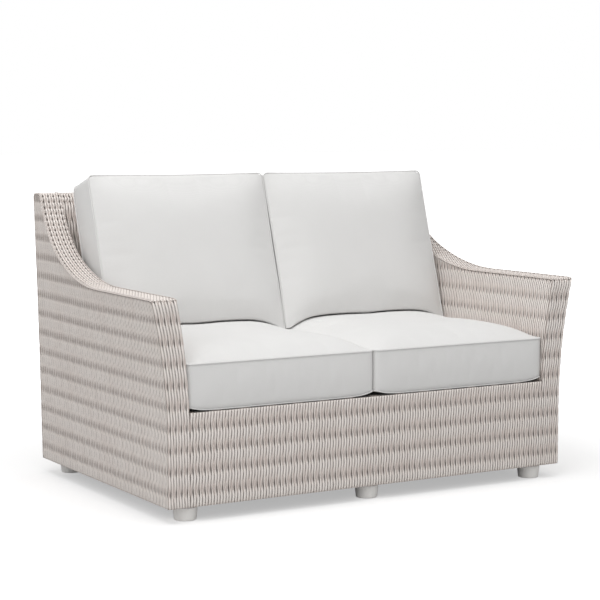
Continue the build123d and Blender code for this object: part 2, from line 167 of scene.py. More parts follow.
class Value:
    """A shader socket that can stand in sums."""

    def __init__(self, nodes: "Nodes", socket: bpy.types.NodeSocket) -> None:
        """Wrap a node's output socket."""
        self.nodes = nodes
        self.socket = socket

    def sum_with(self, operation: str, first: object, second: object) -> "Value":
        """One Math node.

        Args:
            operation: The node's operation.
            first: A number or a value.
            second: A number or a value.

        Returns:
            The node's result.
        """
        return self.nodes.node("ShaderNodeMath", {"operation": operation}, {0: first, 1: second})

    def __add__(self, other: object) -> "Value":
        """This value and another."""
        return self.sum_with("ADD", self, other)

    def __radd__(self, other: object) -> "Value":
        """A number and this value."""
        return self.sum_with("ADD", other, self)

    def __sub__(self, other: object) -> "Value":
        """This value less another."""
        return self.sum_with("SUBTRACT", self, other)

    def __rsub__(self, other: object) -> "Value":
        """A number less this value."""
        return self.sum_with("SUBTRACT", other, self)

    def __mul__(self, other: object) -> "Value":
        """This value times another."""
        return self.sum_with("MULTIPLY", self, other)

    def __rmul__(self, other: object) -> "Value":
        """A number times this value."""
        return self.sum_with("MULTIPLY", other, self)

    def wave(self) -> "Value":
        """The sine of this value."""
        return self.sum_with("SINE", self, 0.0)

    def above(self, limit: float) -> "Value":
        """1 where this value is over a limit, and 0 elsewhere."""
        return self.sum_with("GREATER_THAN", self, limit)

    def root(self) -> "Value":
        """The square root of this value."""
        return self.sum_with("SQRT", self, 0.0)

    def largest(self, other: "Value") -> "Value":
        """The larger of this value and another."""
        return self.sum_with("MAXIMUM", self, other)


class Nodes:
    """A tree of nodes and the one way nodes are added to it."""

    def __init__(self, tree: bpy.types.NodeTree) -> None:
        """Take over a tree."""
        self.tree = tree

    def node(self, kind: str, settings: dict, inputs: dict, output: Union[int, str] = 0) -> Value:
        """Add one node.

        Args:
            kind: The node's type.
            settings: What is set on the node itself.
            inputs: Numbers, colours or values for its sockets, by name or place.
            output: The socket that is handed back.

        Returns:
            The chosen output.
        """
        made = self.tree.nodes.new(kind)
        for name, setting in settings.items():
            setattr(made, name, setting)
        for name, value in inputs.items():
            self.feed(made.inputs[name], value)
        return Value(self, made.outputs[output])

    def feed(self, socket: bpy.types.NodeSocket, value: object) -> None:
        """Link a value to a socket, or set it.

        Args:
            socket: The input.
            value: A value, a number or a colour.
        """
        if isinstance(value, Value):
            self.tree.links.new(value.socket, socket)
        else:
            socket.default_value = value

    def outputs(self, source: Value) -> list[Value]:
        """Every output of a value's node, in order."""
        return [Value(self, socket) for socket in source.socket.node.outputs]


class Shader(Nodes):
    """A material's nodes, with what the finishes share."""

    def __init__(self, name: str) -> None:
        """Start a material that has only its surface shader.

        Args:
            name: Name of the new material.
        """
        self.material = bpy.data.materials.new(name)
        self.material.use_nodes = True
        super().__init__(self.material.node_tree)
        self.surface = self.tree.nodes["Principled BSDF"]

    def set(self, **values: object) -> None:
        """Feed the surface shader's sockets, named with _ for a space."""
        for name, value in values.items():
            self.feed(self.surface.inputs[name.replace("_", " ")], value)

    def attribute(self, name: str) -> Value:
        """A number that the mesh carries."""
        return self.node("ShaderNodeAttribute", {"attribute_name": name}, {}, "Fac")

    def place(self) -> list[Value]:
        """The three object coordinates."""
        where = self.node("ShaderNodeTexCoord", {}, {}, "Object")
        return self.outputs(self.node("ShaderNodeSeparateXYZ", {}, {0: where}))

    def noise(self, scale: float, detail: float = 2.0, stretch: Triple = (1.0, 1.0, 1.0)) -> Value:
        """Soft random spots.

        Args:
            scale: Spots to the metre.
            detail: How rough the spots are.
            stretch: How often they repeat along each axis.

        Returns:
            A value from 0 to 1.
        """
        where = self.node("ShaderNodeTexCoord", {}, {}, "Object")
        mapped = self.node("ShaderNodeMapping", {}, {"Vector": where, "Scale": stretch})
        return self.node("ShaderNodeTexNoise", {}, {"Vector": mapped, "Scale": scale, "Detail": detail})

    def blend(self, share: object, first: object, second: object) -> Value:
        """Two colours mixed by a share from 0 to 1."""
        settings = {"data_type": "RGBA", "clamp_factor": True}
        return self.node("ShaderNodeMix", settings, {0: share, 6: first, 7: second}, 2)

    def bump(self, height: Value, distance: float, strength: float = 1.0) -> None:
        """Raise the surface by a height, up to a distance in metres."""
        inputs = {"Height": height, "Distance": distance, "Strength": strength}
        self.set(Normal=self.node("ShaderNodeBump", {}, inputs))


def rgba(colour: Colour) -> tuple[float, float, float, float]:
    """A colour as a socket takes it."""
    return (*colour, 1.0)


def grey(level: float) -> tuple[float, float, float, float]:
    """A grey as a socket takes it."""
    return rgba((level,) * 3)


@dataclass(frozen=True)
class WovenResin:
    """Flat resin strands in two tones over a dark ground, a sheet of painted shade for the gaps between
    them.
    """

    name: str = "woven_resin"
    light: Colour = (0.92, 0.86, 0.815)
    taupe: Colour = (0.68, 0.59, 0.545)
    # Painted shade: the ground is a dark sheet that stands in for the shade seen through the weave's gaps
    ground: Colour = (0.24, 0.20, 0.18)
    blush: Colour = (0.84, 0.74, 0.68)
    streak_scale: float = 260.0
    streak_stretch: Triple = (1.0, 1.0, 0.12)
    streak_share: float = 0.35
    blush_scale: float = 9.0
    blush_share: float = 0.8
    edge_shade: float = 0.22
    rib_rate: float = 14.0
    rib_depth: float = 0.00025

    def material(self) -> bpy.types.Material:
        """The finish as a material.

        Returns:
            The new material.
        """
        shader = Shader(self.name)
        tone = shader.attribute("tone")
        across = shader.attribute("across")
        streaks = shader.noise(self.streak_scale, 3.0, self.streak_stretch)
        drift = shader.noise(self.blush_scale, 2.0)
        share = tone + (streaks - 0.5) * self.streak_share
        strand = shader.blend(share, rgba(self.light), rgba(self.taupe))
        strand = shader.blend((drift - 0.45) * self.blush_share, strand, rgba(self.blush))
        # The dark ground, painted shade for what shows through the gaps, has tone -1, and a strand's is 0
        # or more
        on_strand = tone.above(-0.5)
        # Painted shade: each strand darkens towards its edges, where it curves under its neighbours,
        # mixing towards the dark ground
        shade = 1.0 - (across * across) * self.edge_shade
        base = shader.blend(on_strand * shade, rgba(self.ground), strand)
        ribs = (across * self.rib_rate).wave()
        shader.bump(ribs * 0.5 + streaks, self.rib_depth, 0.6)
        shader.set(Base_Color=base, Roughness=streaks * 0.2 + 0.45)
        return shader.material


@dataclass(frozen=True)
class WovenCloth:
    """Plain-woven upholstery fabric."""

    name: str = "cushion_cloth"
    colour: Colour = (0.805, 0.80, 0.79)
    shade: Colour = (0.705, 0.70, 0.69)
    thread: float = 0.0009
    relief: float = 0.00025
    slub_scale: float = 700.0
    drift_scale: float = 14.0
    roughness: float = 0.82
    sheen: float = 0.15
    gloss: float = 0.25

    def material(self) -> bpy.types.Material:
        """The finish as a material.

        Returns:
            The new material.
        """
        shader = Shader(self.name)
        rate = math.tau / (2 * self.thread)
        x, y, z = [(part * rate).wave() for part in shader.place()]
        weave = x * y + y * z + x * z
        slubs = shader.noise(self.slub_scale, 2.0)
        drift = shader.noise(self.drift_scale, 2.0)
        share = slubs * 0.5 + weave * 0.12 + (drift - 0.5) * 0.25
        shader.bump(weave * 0.5 + slubs, self.relief, 0.5)
        shader.set(
            Base_Color=shader.blend(share, rgba(self.colour), rgba(self.shade)),
            Roughness=slubs * 0.15 + self.roughness,
            Sheen_Weight=self.sheen,
            Specular_IOR_Level=self.gloss,
        )
        return shader.material


@dataclass(frozen=True)
class Coating:
    """Powder coat, moulded plastic or plated metal, told apart by its numbers."""

    name: str
    colour: Colour
    worn: Colour
    roughness: float = 0.5
    metallic: float = 0.0
    grain: float = 900.0
    depth: float = 0.0001
    wear_scale: float = 18.0

    def material(self) -> bpy.types.Material:
        """The finish as a material.

        Returns:
            The new material.
        """
        shader = Shader(self.name)
        grain = shader.noise(self.grain, 3.0)
        drift = shader.noise(self.wear_scale, 3.0)
        shader.bump(grain, self.depth, 0.5)
        shader.set(
            Base_Color=shader.blend(drift * 0.6 + grain * 0.2, rgba(self.colour), rgba(self.worn)),
            Roughness=grain * 0.2 + (self.roughness - 0.1),
            Metallic=self.metallic,
        )
        return shader.material


@dataclass(frozen=True)
class Strapping:
    """Elastic webbing with ribs along it."""

    name: str = "webbing_weave"
    colour: Colour = (0.055, 0.05, 0.048)
    rib: Colour = (0.11, 0.105, 0.10)
    spacing: float = 0.0021
    relief: float = 0.0003
    fuzz_scale: float = 800.0
    roughness: float = 0.8

    def material(self) -> bpy.types.Material:
        """The finish as a material.

        Returns:
            The new material.
        """
        shader = Shader(self.name)
        x, y, _ = shader.place()
        rate = math.tau / self.spacing
        ribs = (x * rate).wave() * (y * rate).wave()
        fuzz = shader.noise(self.fuzz_scale, 2.0)
        shader.bump(ribs * 0.5 + fuzz * 0.4, self.relief, 0.7)
        shader.set(
            Base_Color=shader.blend(ribs * 0.4 + fuzz * 0.5, rgba(self.colour), rgba(self.rib)),
            Roughness=fuzz * 0.1 + self.roughness,
        )
        return shader.material


# The woven seat


@dataclass(frozen=True)
class SeatForm:
    """Outer form of the woven seat's right half, in metres."""

    half_width: float = 0.6605
    base_depth: float = 0.885
    rake: float = 0.033
    skirt: float = 0.042
    deck: float = 0.299
    arm_height: float = 0.609
    back_height: float = 0.862
    top_depth: float = 0.071
    lean: float = math.radians(17.4)
    arm_wall: float = 0.066
    arm_wall_top: float = 0.074
    flare: float = 0.046
    flare_start: float = 0.220
    even_fade: float = 0.38
    rear_fade: float = 0.5
    rear_fade_power: float = 2.6
    low_radius: float = 0.680
    high_radius: float = 0.340
    scoop_break: float = math.radians(25.3)
    rear_radius: float = 0.020
    corner_radius: float = 0.013

    @property
    def front(self) -> float:
        """Place of the front face."""
        return -(self.base_depth + self.rake) / 2

    @property
    def inner_half(self) -> float:
        """Half the width between the arms at their feet."""
        return self.half_width - self.arm_wall

    def rear_line(self, z: np.ndarray) -> np.ndarray:
        """How far back the raked rear face is at a height."""
        share = (z - self.skirt) / (self.back_height - self.skirt)
        return self.front + self.base_depth + self.rake * share

    def lean_line(self, z: np.ndarray) -> np.ndarray:
        """How far back the leaning inner back is at a height."""
        return -self.front - self.top_depth - (self.back_height - z) * math.tan(self.lean)

    def cap_height(self, y: np.ndarray) -> np.ndarray:
        """Height of the arm cap, level along the arm and then up two arcs to the back.

        Args:
            y: Places along the depth.

        Returns:
            One height for each place.
        """
        low_z = self.arm_height + self.low_radius
        change = self.low_radius - self.high_radius
        high_z = low_z - change * math.cos(self.scoop_break)
        run = math.sqrt(self.high_radius**2 - (high_z - self.back_height) ** 2)
        high_y = -self.front - self.top_depth - run
        low_y = high_y - change * math.sin(self.scoop_break)
        low = low_z - np.sqrt(np.clip(self.low_radius**2 - (y - low_y) ** 2, 0.0, None))
        high = high_z - np.sqrt(np.clip(self.high_radius**2 - (y - high_y) ** 2, 0.0, None))
        break_y = low_y + self.low_radius * math.sin(self.scoop_break)
        height = np.where(y <= low_y, self.arm_height, np.where(y <= break_y, low, high))
        return np.minimum(height, self.back_height)

    def corner_drop(self, y: np.ndarray) -> np.ndarray:
        """How far the arm's rounded front corner lies below the cap."""
        left = np.clip(self.corner_radius - (y - self.front), 0.0, self.corner_radius)
        return self.corner_radius - np.sqrt(self.corner_radius**2 - left**2)

    def wall(self, y: np.ndarray, z: np.ndarray, share: Union[float, np.ndarray]) -> np.ndarray:
        """How far out an arm wall is.

        Args:
            y: Places along the depth.
            z: Heights.
            share: 0 on the outer face and 1 on the inner face.

        Returns:
            The distance from the seat's middle.
        """
        depth_share = np.clip((y - self.front) / (-2 * self.front), 0.0, 1.0)
        left = 1.0 - self.even_fade * depth_share - self.rear_fade * depth_share**self.rear_fade_power
        rise = np.clip(z - self.flare_start, 0.0, None) / (self.cap_height(y) - self.flare_start)
        flare = self.flare - (self.arm_wall_top - self.arm_wall) * share
        return self.half_width - self.arm_wall * share + flare * left * rise**2


class SidePath:
    """A line in the seat's side view with rounded corners, measured along its length."""

    step = 0.001

    def __init__(self, corners: np.ndarray, rounding: float) -> None:
        """Draw the line.

        Args:
            corners: Rows of y and z.
            rounding: Length over which a corner is rounded.
        """
        even = self.even(np.asarray(corners, float))
        reach = max(1, int(rounding / self.step / 2))
        ramp = np.arange(1, reach + 1)[:, None]
        before = even[0] - (even[1] - even[0]) * ramp[::-1]
        after = even[-1] + (even[-1] - even[-2]) * ramp
        padded = np.vstack([before, even, after])
        kernel = np.full(2 * reach + 1, 1.0 / (2 * reach + 1))
        smooth = [np.convolve(padded[:, axis], kernel, "valid") for axis in (0, 1)]
        self.points = self.even(np.stack(smooth, axis=1))
        self.lengths = np.arange(len(self.points)) * self.step

    def even(self, points: np.ndarray) -> np.ndarray:
        """The same line with points one step apart.

        Args:
            points: Rows of y and z along the line.

        Returns:
            New rows of y and z.
        """
        gone = np.concatenate([[0.0], np.cumsum(np.linalg.norm(np.diff(points, axis=0), axis=1))])
        wanted = np.arange(0.0, gone[-1], self.step)
        return np.stack([np.interp(wanted, gone, points[:, axis]) for axis in (0, 1)], axis=1)

    def at(self, along: np.ndarray) -> tuple[np.ndarray, np.ndarray]:
        """Places on the line, which goes straight on past its ends.

        Args:
            along: Distances from the line's start.

        Returns:
            The y and the z of each.
        """
        held = np.clip(along, 0.0, self.lengths[-1])
        over = (along - held)[..., None]
        first = (self.points[1] - self.points[0]) / self.step
        last = (self.points[-1] - self.points[-2]) / self.step
        spare = np.where(over < 0.0, first, last) * over
        y = np.interp(held, self.lengths, self.points[:, 0]) + spare[..., 0]
        z = np.interp(held, self.lengths, self.points[:, 1]) + spare[..., 1]
        return y, z

    def length_at(self, y: float, z: float) -> float:
        """Distance along the line to the point nearest a place."""
        return float(self.lengths[np.argmin(np.hypot(self.points[:, 0] - y, self.points[:, 1] - z))])


@dataclass(frozen=True)
class Panel:
    """One woven face: where it lies, its width, and where its strands begin and end."""

    place: Places
    width: float
    begin: Ends
    end: Ends
    normal_step: float = 0.0015

    def normal(self, across: np.ndarray, along: np.ndarray) -> np.ndarray:
        """Outward directions of the face.

        Args:
            across: Places over its width.
            along: Places along its strands.

        Returns:
            One direction of length 1 for each place.
        """
        step = self.normal_step
        wide = self.place(across + step, along) - self.place(across - step, along)
        tall = self.place(across, along + step) - self.place(across, along - step)
        out = np.cross(wide, tall)
        return out / np.linalg.norm(out, axis=1, keepdims=True)


class Resin(Enum):
    """The three strands that repeat over a face: a light one either side of a slit, then a taupe one."""

    LIGHT_BEFORE = 0
    LIGHT_AFTER = 1
    TAUPE = 2


@dataclass(frozen=True)
class Strands:
    """The strands of one face: their spacing, and each one's kind, places and length."""

    pitch: float
    kind: np.ndarray
    slit_at: np.ndarray
    centres: np.ndarray
    starts: np.ndarray
    lengths: np.ndarray


@dataclass(frozen=True)
class Weave:
    """Pairs of light strands that part in a slit where they dive, with a taupe strand between pairs."""

    pitch: float = 0.0180
    repeat: float = 0.0585
    first_slit: float = 0.0390
    slit_half: float = 0.0015
    slit_share: float = 0.25
    light_gap: float = 0.0003
    taupe_half: float = 0.0013
    taupe_swell: float = 0.0019
    taupe_lift_share: float = 0.6
    sway: float = 0.0007
    middle: float = -0.0018
    lift: float = 0.0013
    thickness: float = 0.0010
    ground: float = -0.0040
    ground_thickness: float = 0.0005
    ground_cells: int = 36
    climb_power: float = 0.75
    shortest_share: float = 1 / 6
    # How far towards taupe a light strand is painted in its painted shade
    shade: float = 0.45
    taupe_tone: float = 0.85
    variety: float = 0.3
    rows: int = 10
    seed: int = 7
    draws: int = 4096
    strand_stride: int = 61
    row_stride: int = 17

    # A strand's cross-section: shares of its half width, and of its thickness
    section_across = np.array((-1.0, 0.0, 1.0, 0.0))
    section_rise = np.array((0.0, 1.0, 0.0, -0.6))
    # Painted shade on a light strand from one row of slits to the next: darker beside the slits and where
    # it turns down towards the next row, partly also the taupe strand showing between
    painted_shade_phases = np.array((0.0, 0.25, 0.4, 0.8, 0.85, 1.0))
    painted_shade_shares = np.array((0.4, 0.0, 0.0, 1.0, 1.0, 0.4))

    def cover(self, name: str, panel: Panel) -> bpy.types.Mesh:
        """Weave one face.

        Args:
            name: Name of the new mesh.
            panel: The face to cover.

        Returns:
            A mesh of closed strands over a thin dark ground, which is painted shade for the gaps.
        """
        laid = self.lay(panel)
        mesh = self.blank(name, laid)
        raw = points_of(mesh)
        strand = np.rint(raw[:, 2]).astype(int)
        is_shade_sheet = strand < 0
        strand = np.where(is_shade_sheet, 0, strand)
        share = (raw[:, 1] + 1.0) / 2.0
        sides = len(self.section_across)
        side = np.rint((raw[:, 0] + 1.0) * sides / 2).astype(int) % sides
        # The first and last rings of a strand close its square-cut ends
        rings = self.rings(laid.lengths)[strand]
        ring = share * rings
        held = np.clip(ring, 1.0, rings - 1.0)
        body = (np.abs(held - ring) < 0.5).astype(float)
        along = laid.starts[strand] + (held - 1.0) / (rings - 2.0) * laid.lengths[strand]
        # Cycles run down from one row of slits to the next
        cycle = (self.first_slit - along) / self.repeat
        middle, half, level = self.run(laid, strand, cycle)
        across = np.clip(middle + self.section_across[side] * half * body, 0.0, panel.width)
        out = level + self.section_rise[side] * self.thickness * body

        # The dark ground is a sheet of painted shade, set back under the strands
        shade_sheet_across = (raw[:, 0] + 1.0) / 2.0 * panel.width
        low, high = panel.begin(shade_sheet_across), panel.end(shade_sheet_across)
        across = np.where(is_shade_sheet, shade_sheet_across, across)
        along = np.where(is_shade_sheet, low + share * (high - low), along)
        out = np.where(is_shade_sheet, self.ground, out)
        points = panel.place(across, along) + panel.normal(across, along) * out[:, None]
        move_points(mesh, points)
        self.carry(mesh, "tone", np.where(is_shade_sheet, -1.0, self.tone(laid, strand, cycle)))
        self.carry(mesh, "across", np.where(is_shade_sheet, 0.0, self.section_across[side]))
        self.close(mesh)
        return mesh

    def lay(self, panel: Panel) -> Strands:
        """Space the strands evenly over a face.

        Args:
            panel: The face to cover.

        Returns:
            Its strands, in order from one side to the other.
        """
        pairs = max(1, round(panel.width / self.pitch))
        pitch = panel.width / pairs
        number = np.arange(-1, pairs * len(Resin))
        # Of each three strands the first two part at the slit, and the third lies between pairs
        pair, kind = number // len(Resin), number % len(Resin)
        slit_at = (pair + 0.5) * pitch
        centres = np.choose(kind, (slit_at - pitch / 4, slit_at + pitch / 4, (pair + 1.0) * pitch))
        centres = np.clip(centres, self.taupe_half, panel.width - self.taupe_half)
        starts = panel.begin(centres)
        return Strands(pitch, kind, slit_at, centres, starts, panel.end(centres) - starts)

    def run(
        self, laid: Strands, strand: np.ndarray, cycle: np.ndarray
    ) -> tuple[np.ndarray, np.ndarray, np.ndarray]:
        """How strands run at their places in the pattern.

        Args:
            laid: The strands of the face.
            strand: The number of each place's strand.
            cycle: How many rows of slits lie above each place.

        Returns:
            Each place's middle across the face, half width and height off the face.
        """
        phase = cycle - np.floor(cycle)
        climb = -np.cos(math.tau * phase**self.climb_power)
        slit_phase = np.minimum(phase, 1.0 - phase) / self.slit_share
        opened = np.cos(np.clip(slit_phase, 0.0, 1.0) * math.pi / 2) ** 2
        slit = self.light_gap / 4 + self.slit_half * opened
        taupe = self.taupe_half + self.taupe_swell * np.clip(-climb, 0.0, None)
        room = laid.pitch / 2 - self.light_gap
        is_taupe = laid.kind[strand] == Resin.TAUPE.value
        facing = np.where(laid.kind[strand] == Resin.LIGHT_BEFORE.value, -1.0, 1.0)
        light_middle = laid.slit_at[strand] + facing * (slit + room) / 2
        middle = np.where(is_taupe, laid.centres[strand], light_middle)
        half = np.where(is_taupe, taupe, (room - slit) / 2)
        level = self.middle + self.lift * np.where(is_taupe, -climb * self.taupe_lift_share, climb)
        return middle + self.sway * np.sin(math.tau * phase), half, level

    def tone(self, laid: Strands, strand: np.ndarray, cycle: np.ndarray) -> np.ndarray:
        """The colour of each place, from 0, light, to 1, taupe, with painted shade on the light strands.

        Args:
            laid: The strands of the face.
            strand: The number of each place's strand.
            cycle: How many rows of slits lie above each place.

        Returns:
            One share for each place.
        """
        row = np.floor(cycle)
        # Painted shade along each light strand, partly the taupe beneath showing
        light = self.shade * np.interp(cycle - row, self.painted_shade_phases, self.painted_shade_shares)
        chance = np.random.default_rng(self.seed).random(self.draws)
        drawn = chance[(strand * self.strand_stride + row.astype(int) * self.row_stride) % self.draws]
        is_taupe = laid.kind[strand] == Resin.TAUPE.value
        plain = np.where(is_taupe, self.taupe_tone, light)
        return np.clip(plain + (drawn - 0.5) * self.variety, 0.0, 1.0)

    def blank(self, name: str, laid: Strands) -> bpy.types.Mesh:
        """Flat grids for the strands, each at a height that is its number, and the ground at -1.

        Args:
            name: Name of the new mesh.
            laid: The strands of the face. The shortest are left out.

        Returns:
            One mesh of loose grids.
        """
        grids = {-1: (self.ground_cells, self.ground_cells)}
        for number, rings in enumerate(self.rings(laid.lengths)):
            if laid.lengths[number] >= self.repeat * self.shortest_share:
                grids[number] = (len(self.section_across), int(rings))
        return flat_grids(name, grids)

    def rings(self, lengths: np.ndarray) -> np.ndarray:
        """How many steps each strand takes, with one more to close each end."""
        return np.maximum(np.rint(lengths / self.repeat * self.rows), 2) + 2

    @staticmethod
    def carry(mesh: bpy.types.Mesh, name: str, values: np.ndarray) -> None:
        """Store one number for each vertex."""
        layer = mesh.attributes.new(name, "FLOAT", "POINT")
        layer.data.foreach_set("value", values.astype(np.float32))

    def close(self, mesh: bpy.types.Mesh) -> None:
        """Join each strand's seam and tips, and give the ground its thickness.

        Args:
            mesh: The woven face, with its tones.
        """
        with opened(mesh) as bm:
            tone = bm.verts.layers.float["tone"]
            bmesh.ops.remove_doubles(bm, verts=bm.verts[:], dist=SAME_PLACE)
            ground = [face for face in bm.faces if all(v[tone] < -0.5 for v in face.verts)]
            bmesh.ops.recalc_face_normals(bm, faces=bm.faces[:])
            made = bmesh.ops.solidify(bm, geom=ground, thickness=self.ground_thickness)
            for part in made["geom"]:
                if isinstance(part, bmesh.types.BMVert):
                    part[tone] = -1.0
            bmesh.ops.recalc_face_normals(bm, faces=bm.faces[:])


@dataclass(frozen=True)
class WovenSeat:
    """Every woven skin of the seat."""

    form: SeatForm
    finish: bpy.types.Material
    body: str = "frame"
    slot: str = "wicker"
    setback: float = 0.0043
    under_cap: float = 0.001
    over_edge: float = 0.001
    tuck: float = 0.002
    edge_radius: float = 0.0035
    edge_stand: float = 0.0022
    edge_wrap: float = 1.3
    inner_rounding: float = 0.040
    outer_rounding: float = 0.030
    roll_start: float = 0.025
    settling: int = 6

    def build(self) -> None:
        """Weave each face and stand it for its node."""
        upright = Weave()
        side = Weave(
            slit_half=0.0008, light_gap=0.0005, taupe_half=0.0009, taupe_swell=0.0007,
            taupe_lift_share=0.3, shade=0.15,
        )
        inner_side = Weave(slit_half=0.0013, shade=0.25)
        rear = Weave(rows=7)
        cap = Weave(
            repeat=0.0200, first_slit=0.0, slit_half=0.0022, slit_share=0.3, taupe_half=0.0010,
            taupe_swell=0.0012, lift=0.0012, middle=-0.0014, shade=0.4, rows=7,
        )
        braid = Weave(
            pitch=0.0072, repeat=0.0130, first_slit=0.0, slit_half=0.0006, taupe_half=0.0005,
            taupe_swell=0.0006, lift=0.0006, middle=-0.0010, thickness=0.0008, ground=-0.0020, rows=6,
        )
        self.both("outer_side_skin", side.cover("outer_side", self.outer_side()))
        self.both("inner_arm_skin", inner_side.cover("inner_arm", self.inner_arm()))
        front, top = self.arm_front_and_cap()
        self.both("arm_front_skin", upright.cover("arm_front", front))
        self.both("arm_cap", cap.cover("arm_cap", top))
        for label, inner in (("outer", False), ("inner", True)):
            mesh = braid.cover(f"cap_braid_{label}", self.cap_edge(inner))
            self.both(f"cap_braid_{label}", mesh, replaced=False)
        self.single("front_apron_skin", upright.cover("front_apron", self.apron()))
        panel, roll = self.inner_back_and_roll()
        self.single("inner_back_skin", upright.cover("inner_back", panel))
        self.single("back_top_cap", cap.cover("back_top", roll))
        self.single("outer_back_skin", rear.cover("outer_back", self.outer_back()))

    def single(self, node: str, mesh: bpy.types.Mesh) -> None:
        """Show one woven piece in place of its node."""
        self.stand(f"woven_{node}", mesh, node)

    def both(self, node: str, mesh: bpy.types.Mesh, replaced: bool = True) -> None:
        """Show a woven piece and its mirrored twin.

        Args:
            node: The node's name without its side.
            mesh: The right piece.
            replaced: Whether the pieces stand for nodes.
        """
        twin = mirrored(f"{mesh.name}_left", mesh)
        for side, half in ((Side.RIGHT, mesh), (Side.LEFT, twin)):
            name = f"{node}_{side.value}"
            self.stand(f"woven_{name}", half, name if replaced else None)

    def stand(self, name: str, mesh: bpy.types.Mesh, node: Optional[str]) -> None:
        """Dress a mesh, and ride it on the frame.

        Args:
            name: Name of the new object.
            mesh: The woven face.
            node: The node that it stands for, if any.
        """
        piece = shown(name, mesh)
        mesh.materials.append(self.finish)
        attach(piece, self.body)
        if node:
            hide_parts(node)
        LOG.info("%s: %d faces", name, len(mesh.polygons))

    def outer_side(self) -> Panel:
        """The arm's outer face, from the skirt to the cap.

        Returns:
            The face to weave.
        """
        form = self.form
        start = form.front + self.setback

        def depth_at(across: np.ndarray, z: np.ndarray) -> np.ndarray:
            """The y of a strand at a height, fanned out to the raked rear edge."""
            share = across / (form.base_depth - 2 * self.setback)
            return start + share * (form.rear_line(z) - self.setback - start)

        def place(across: np.ndarray, along: np.ndarray) -> np.ndarray:
            """Points of the outer face.

            Args:
                across: Places over its width.
                along: Places along its strands.

            Returns:
                Rows of x, y and z.
            """
            z = form.skirt + along
            y = depth_at(across, z)
            return np.stack([form.wall(y, z, 0.0), y, z], axis=1)

        def top(across: np.ndarray) -> np.ndarray:
            """Where the strands end under the cap.

            Args:
                across: Places over the face's width.

            Returns:
                Distances along the strands.
            """
            z = np.full_like(across, form.arm_height)
            for _ in range(self.settling):
                z = form.cap_height(depth_at(across, z))
            return z - form.corner_drop(depth_at(across, z)) - form.skirt - self.under_cap

        return Panel(place, form.base_depth - 2 * self.setback, np.zeros_like, top)

    def inner_arm(self) -> Panel:
        """The arm's inner face, from the deck to the cap and back to the leaning panel.

        Returns:
            The face to weave.
        """
        form = self.form
        start = form.front + self.setback
        width = -2 * form.front - form.top_depth - self.setback

        def place(across: np.ndarray, along: np.ndarray) -> np.ndarray:
            """Points of the inner face.

            Args:
                across: Places over its width.
                along: Places along its strands.

            Returns:
                Rows of x, y and z.
            """
            y = start + width - across
            z = form.skirt + along
            return np.stack([form.wall(y, z, 1.0), y, z], axis=1)

        def bottom(across: np.ndarray) -> np.ndarray:
            """Where the strands rise from the deck or from behind the leaning back.

            Args:
                across: Places over the face's width.

            Returns:
                Distances along the strands.
            """
            y = start + width - across
            leaning = form.back_height - (-form.front - form.top_depth - y) / math.tan(form.lean)
            return np.maximum(form.deck, leaning) - form.skirt

        def top(across: np.ndarray) -> np.ndarray:
            """Where the strands end under the cap.

            Args:
                across: Places over the face's width.

            Returns:
                Distances along the strands.
            """
            y = start + width - across
            return form.cap_height(y) - form.corner_drop(y) - form.skirt - self.under_cap

        return Panel(place, width, bottom, top)

    def square(self, along: float) -> Ends:
        """Strand ends in one straight row, at a distance along the strands."""
        return partial(np.full_like, fill_value=along)

    def cap_line(self) -> SidePath:
        """The arm's outline in the side view.

        Returns:
            The line up its front, along its cap and up the scoop to the rear edge.
        """
        form = self.form
        run = np.arange(form.front, -form.front, 2 * SidePath.step)
        cap = np.stack([run, form.cap_height(run)], axis=1)
        return SidePath(np.vstack([[(form.front, form.skirt)], cap]), 2 * form.corner_radius)

    def cap_ends(self, line: SidePath) -> tuple[float, float]:
        """Where the cap begins over the arm's front, and where it ends at the rear.

        Args:
            line: The arm's outline.

        Returns:
            Two distances along the line.
        """
        form = self.form
        rear = -form.front - form.rear_radius
        return line.length_at(form.front, form.arm_height), line.length_at(rear, form.back_height)

    def across_arm(self, line: SidePath) -> Places:
        """Places over the arm's thickness, from its inner edge to its outer edge.

        Args:
            line: The line that the face follows in the side view.

        Returns:
            The face's places.
        """
        form = self.form

        def place(across: np.ndarray, along: np.ndarray) -> np.ndarray:
            """Points over the arm's thickness.

            Args:
                across: Places from the inner edge.
                along: Places along the line.

            Returns:
                Rows of x, y and z.
            """
            y, z = line.at(along)
            share = 1.0 - across / form.arm_wall_top
            height = np.minimum(z, form.cap_height(y))
            return np.stack([form.wall(y, height, share), y, z], axis=1)

        return place

    def arm_front_and_cap(self) -> tuple[Panel, Panel]:
        """The arm's front face, and its cap.

        Returns:
            The two faces to weave.
        """
        line = self.cap_line()
        place = self.across_arm(line)
        width = self.form.arm_wall_top
        corner, end = self.cap_ends(line)
        front = Panel(place, width, np.zeros_like, self.square(corner + self.tuck))
        return front, Panel(place, width, self.square(corner), self.square(end))

    def cap_edge(self, inner: bool) -> Panel:
        """A narrow band that turns over one edge of the cap.

        Args:
            inner: Whether it is the edge towards the seat.

        Returns:
            The band as a face to weave.
        """
        form = self.form
        line = self.cap_line()
        outward = -1.0 if inner else 1.0
        width = self.edge_radius * math.pi / 2 * self.edge_wrap
        corner, end = self.cap_ends(line)

